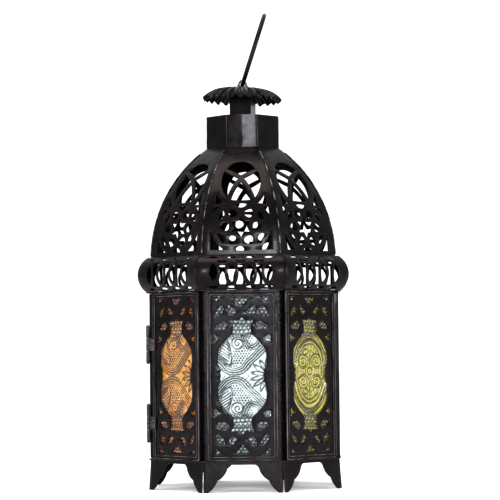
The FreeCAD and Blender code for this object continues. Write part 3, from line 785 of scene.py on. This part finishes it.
def make_glass():
    """A fine height field for each pane's front, with walls round it and a plain back."""
    columns = int(2 * GLASS_HALF_WIDTH / GLASS_STEP)
    rows = int(2 * GLASS_HALF_HEIGHT / GLASS_STEP)
    across = np.linspace(-GLASS_HALF_WIDTH, GLASS_HALF_WIDTH, columns)
    up = np.linspace(-GLASS_HALF_HEIGHT, GLASS_HALF_HEIGHT, rows)
    x, z = np.meshgrid(across, up)
    grid = np.arange(rows * columns).reshape(rows, columns)
    quads = np.stack([grid[:-1, :-1], grid[:-1, 1:], grid[1:, 1:], grid[1:, :-1]], axis=-1)
    quads = quads.reshape(-1, 4)
    border = np.concatenate([grid[0, :], grid[1:, -1], grid[-1, -2::-1], grid[-2:0:-1, 0]])
    for index, face in enumerate(FACES):
        tint = PANE_TINTS[face]
        swell = waves(600 + index, (9, 15, 33))
        drift = waves(650 + index, (7, 12, 19))
        slide = waves(670 + index, (8, 13, 21))
        relief = RELIEFS[tint](x + 0.45 * drift(x, z), z + 0.45 * slide(x, z))
        relief = np.clip(relief, 0, RELIEF_TOP) / RELIEF_TOP
        rise_up, rise_across = np.gradient(relief * RELIEF_HEIGHT, GLASS_STEP)
        patchy = 0.95 + 0.45 * swell(x * 2.3, z * 2.3)
        # Painted shade on the relief's lower flanks, heavier on one side, as though lit from above and to
        # one side.
        painted_undercut_shade = np.clip(0.55 * rise_up - 0.35 * rise_across, 0, 1)
        # Painted shade over the pane's margins and ends, outside the cartouche, where frame and posts
        # shade it, broken up by a mottle.
        margin = inside(CARTOUCHE_REACH - np.hypot(x, z * 0.42), 0.5)
        bars = np.sin(2.1 * x + 2.5 * slide(z * 3, x * 3))
        rungs = np.sin(1.7 * z + 2.5 * drift(z * 3, x * 3))
        mottle = 0.5 + 0.5 * bars * rungs
        ends = inside(ENDS_FROM - np.abs(z), 0.8) * (1 - margin)
        # Painted shade: the relief's lines, its shaded flanks and the shaded margins, gathered into one
        # value per point.
        painted_shade = 1.35 * relief * patchy + 1.2 * painted_undercut_shade
        painted_shade = painted_shade + margin * (0.3 + 0.8 * mottle) + 0.7 * ends * mottle
        painted_shade = np.clip(painted_shade, 0, 1) ** 0.8
        apothem = GLASS_APOTHEM - RELIEF_HEIGHT - PANE_CLEARANCE + RELIEF_HEIGHT * relief
        apothem = apothem + 0.05 * swell(x, z)
        front = np.column_stack([x.ravel(), -apothem.ravel(), FRAME_MIDDLE + z.ravel()])
        back = front[border].copy()
        back[:, 1] = -(GLASS_BACK + 0.02)
        count = len(border)
        first = len(front)
        walls = []
        for k in range(count):
            ahead = (k + 1) % count
            walls.append((border[k], first + k, first + ahead, border[ahead]))
        rear = tuple(range(first + count - 1, first - 1, -1))
        faces = [tuple(q) for q in quads] + walls + [rear]
        name = "pane_" + tint + "_" + face
        mesh = mesh_from(name, to_face(np.vstack([front, back]), index), faces)
        give_values(mesh, PAINTED_GLASS_SHADE, np.concatenate([painted_shade.ravel(), np.zeros(count)]))
        add_piece(name, mesh, body_of("glass", face), "glass_" + tint, [node_name("glass", face)], 60)


# ---- neck and cap ----
def make_neck():
    """A folded strip with rounded creases, whose end laps over its start in mid front."""
    low, high = box_mm("neck_collar")
    apothem = high[0]
    thickness = 0.7
    crease = 1.3
    crease_pull = 0.12
    side = apothem * HALF_SIDE
    corners = []
    for k in range(len(FACES)):
        for x in (-side + crease * 0.2, -side + crease, side - crease, side - crease * 0.2):
            if k == 0 and x < 0:
                continue
            pulled = apothem - crease_pull if abs(x) > side - crease * 0.5 else apothem
            corners.append(to_face([[x, -pulled, 0]], k)[0][:2])
    lap = [(-side + crease * 0.2, -apothem + crease_pull), (-side + crease, -apothem),
           (-6.0, -apothem - 0.15), (-1.0, -apothem - 0.75), (0.4, -apothem - 0.8)]
    start = [(-1.2, -apothem), (0.0, -apothem)]
    outline = np.array([*start, *corners, *lap])
    steps = np.roll(outline, -1, axis=0) - np.roll(outline, 1, axis=0)
    steps[0] = outline[1] - outline[0]
    steps[-1] = outline[-1] - outline[-2]
    normals = np.column_stack([steps[:, 1], -steps[:, 0]]) / np.linalg.norm(steps, axis=1)[:, None]
    inner = outline - normals * thickness
    rows = 13
    uneven = waves(700, (11, 19))
    points = []
    for r in range(rows):
        z = low[2] + (high[2] - low[2]) * r / (rows - 1)
        for ring in (outline, inner):
            sway = 0.12 * uneven(ring[:, 0] * 2, ring[:, 1] + z)
            points += [(x * (1 + s / apothem), y * (1 + s / apothem), z) for (x, y), s in zip(ring, sway)]
    count = len(outline)
    faces = []
    for r in range(rows - 1):
        a = 2 * count * r
        b = 2 * count * (r + 1)
        for k in range(count - 1):
            faces.append((a + k, a + k + 1, b + k + 1, b + k))
            faces.append((a + count + k + 1, a + count + k, b + count + k, b + count + k + 1))
        faces.append((a + count, a, b, b + count))
        faces.append((a + count - 1, a + 2 * count - 1, b + 2 * count - 1, b + count - 1))
    last = 2 * count * (rows - 1)
    for k in range(count - 1):
        faces.append((k, count + k, count + k + 1, k + 1))
        faces.append((last + k, last + k + 1, last + count + k + 1, last + count + k))
    mesh = mesh_from("neck_strip", points, faces)
    add_piece("neck_strip", mesh, FIXED_BODY, "black_paint", ["neck_collar"], 25)


CAP_FLUTES = 26


def make_cap():
    """A dished cap with flutes that deepen to a wavy rim."""
    crown = 303.5
    sunk = 0.35
    radius = 30.3
    drop = 8.6
    tilt = math.radians(2.3)
    thickness = 0.7
    around = CAP_FLUTES * 12
    rings = 22
    rng = np.random.default_rng(800)
    depth_of = rng.uniform(0.75, 1.2, CAP_FLUTES)
    shift_of = rng.uniform(-0.14, 0.14, CAP_FLUTES)
    turn = np.arange(around) / around * CAP_FLUTES
    flute = turn.astype(int) % CAP_FLUTES
    blend = turn - np.floor(turn)
    depth = depth_of[flute] * (1 - blend) + depth_of[(flute + 1) % CAP_FLUTES] * blend
    shift = shift_of[flute] * (1 - blend) + shift_of[(flute + 1) % CAP_FLUTES] * blend
    wave = np.cos(2 * math.pi * (turn + shift))
    pleat = np.sign(wave) * np.abs(wave) ** 0.8
    angle = 2 * math.pi * turn / CAP_FLUTES
    points = []
    for side in (0, 1):
        for k in range(1, rings + 1):
            share = k / rings
            fall = drop * share ** 3.6
            amplitude = 1.5 * max(0.0, share - 0.3) ** 0.9
            r = radius * share * (1 - 0.022 * share * (1 - wave))
            z = crown - sunk - fall + amplitude * depth * pleat - thickness * side
            points.append(np.column_stack([r * np.cos(angle), r * np.sin(angle), z]))
    centres = np.array([[0, 0, crown - sunk], [0, 0, crown - sunk - thickness]])
    points = np.vstack(points + [centres])
    lower = rings * around
    top_centre = 2 * lower
    rim = lower - around
    faces = []
    for j in range(around):
        ahead = (j + 1) % around
        faces.append((top_centre, j, ahead))
        faces.append((top_centre + 1, lower + ahead, lower + j))
        for k in range(rings - 1):
            a = k * around
            b = (k + 1) * around
            faces.append((a + j, b + j, b + ahead, a + ahead))
            faces.append((lower + a + ahead, lower + b + ahead, lower + b + j, lower + a + j))
        faces.append((rim + j, lower + rim + j, lower + rim + ahead, rim + ahead))
    points[:, 2] -= crown
    x = points[:, 0] * math.cos(tilt) + points[:, 2] * math.sin(tilt)
    z = -points[:, 0] * math.sin(tilt) + points[:, 2] * math.cos(tilt)
    placed = np.column_stack([x, points[:, 1], z + crown])
    mesh = mesh_from("fluted_cap", placed, faces)
    add_piece("fluted_cap", mesh, FIXED_BODY, "black_paint", ["chimney_cap"], 50)


# ---- carried-over CAD nodes ----
def finish_cad_nodes():
    """Eased edges and a finish for every CAD node that is still shown."""
    slots = {row["node"]: row["material_slot"] for row in frame["record"]["subparts"]}
    for name, node in frame["nodes"].items():
        if node.hide_render:
            continue
        node.data.materials.clear()
        node.data.materials.append(MATERIALS[slots[name]])
        if name == "ring_handle":
            for polygon in node.data.polygons:
                polygon.use_smooth = True
            continue
        bevel = node.modifiers.new("eased_edges", "BEVEL")
        bevel.width = 0.15 * MM
        bevel.segments = 2
        bevel.limit_method = "ANGLE"
        bevel.angle_limit = math.radians(40)


# ---- stage, light and camera ----
def make_stage():
    material, _, _, shader = new_material("pale_floor")
    shader.inputs["Base Color"].default_value = (0.93, 0.93, 0.93, 1)
    shader.inputs["Emission Color"].default_value = (1, 1, 1, 1)
    shader.inputs["Emission Strength"].default_value = 0.2
    shader.inputs["Roughness"].default_value = 0.7
    mesh = bpy.data.meshes.new("floor")
    size = 12.0
    corners = [(-size, -size, 0), (size, -size, 0), (size, size, 0), (-size, size, 0)]
    mesh.from_pydata(corners, [], [(0, 1, 2, 3)])
    mesh.materials.append(material)
    floor = bpy.data.objects.new("floor", mesh)
    bpy.context.scene.collection.objects.link(floor)


def add_area_light(name, place, target, size, power, colour):
    light = bpy.data.lights.new(name, "AREA")
    light.color = colour
    light.shape = "RECTANGLE"
    light.size, light.size_y = size
    light.energy = power
    holder = bpy.data.objects.new(name, light)
    holder.location = place
    holder.rotation_euler = (Vector(target) - Vector(place)).to_track_quat("-Z", "Y").to_euler()
    bpy.context.scene.collection.objects.link(holder)


def make_light():
    """A bright backdrop, dimmer at the sides and in front, with two strips and two soft boxes."""
    world = bpy.data.worlds.new("studio")
    world.use_nodes = True
    nodes = world.node_tree.nodes
    links = world.node_tree.links
    coords = nodes.new("ShaderNodeTexCoord")
    split = nodes.new("ShaderNodeSeparateXYZ")
    links.new(coords.outputs["Generated"], split.inputs["Vector"])
    nodes["Background"].inputs["Color"].default_value = (1, 1, 1, 1)
    strength = None
    for axis, low, high, start, stop in (
            ("Y", 0.7, 1.15, -0.35, 0.05), ("X", 0.6, 1.15, -0.95, -0.45), ("X", 1.15, 0.9, 0.45, 0.95)):
        part = range_node(nodes, links, split.outputs[axis], low, high, start, stop).outputs["Result"]
        if strength is not None:
            least = nodes.new("ShaderNodeMath")
            least.operation = "MINIMUM"
            links.new(strength, least.inputs[0])
            links.new(part, least.inputs[1])
            part = least.outputs["Value"]
        strength = part
    links.new(strength, nodes["Background"].inputs["Strength"])
    bpy.context.scene.world = world
    middle = (0, 0, 0.2)
    add_area_light("left_strip", (-1.56, -0.95, 0.3), middle, (0.22, 1.1), 26, (1, 1, 1))
    add_area_light("right_strip", (1.56, -0.95, 0.3), middle, (0.22, 1.1), 26, (1, 1, 1))
    add_area_light("front_box", (0.12, -2.1, 0.5), middle, (0.5, 0.45), 27, (0.93, 0.95, 1.0))
    add_area_light("high_box", (-0.1, -0.45, 1.7), middle, (1.0, 0.8), 15, (1.0, 0.82, 0.72))
    bpy.context.scene.view_settings.view_transform = "Standard"
    bpy.context.scene.view_settings.look = "Medium High Contrast"


def make_camera():
    """A long lens at the height of the panes' upper half, turned and tilted slightly."""
    distance = 1.528
    height = 0.102
    azimuth = math.radians(1.94)
    pitch = math.radians(2.9)
    roll = math.radians(-0.61)
    camera = bpy.data.objects.new("camera", bpy.data.cameras.new("camera"))
    camera.data.sensor_width = 36
    camera.data.lens = 144.5
    camera.data.shift_x = 0.0116
    camera.data.clip_start = 0.05
    camera.data.clip_end = 100
    turn = Matrix.Rotation(azimuth, 4, "Z") @ Matrix.Rotation(math.pi / 2 + pitch, 4, "X")
    turn = turn @ Matrix.Rotation(roll, 4, "Z")
    place = Matrix.Translation((distance * math.sin(azimuth), -distance * math.cos(azimuth), height))
    camera.matrix_world = place @ turn
    bpy.context.scene.collection.objects.link(camera)
    bpy.context.scene.camera = camera


make_domes()
make_dome_seams()
make_collars()
make_frets()
make_skirt()
make_frames()
make_glass()
make_neck()
make_neck_seam()
make_cap()
finish_cad_nodes()
make_stage()
make_light()
make_camera()
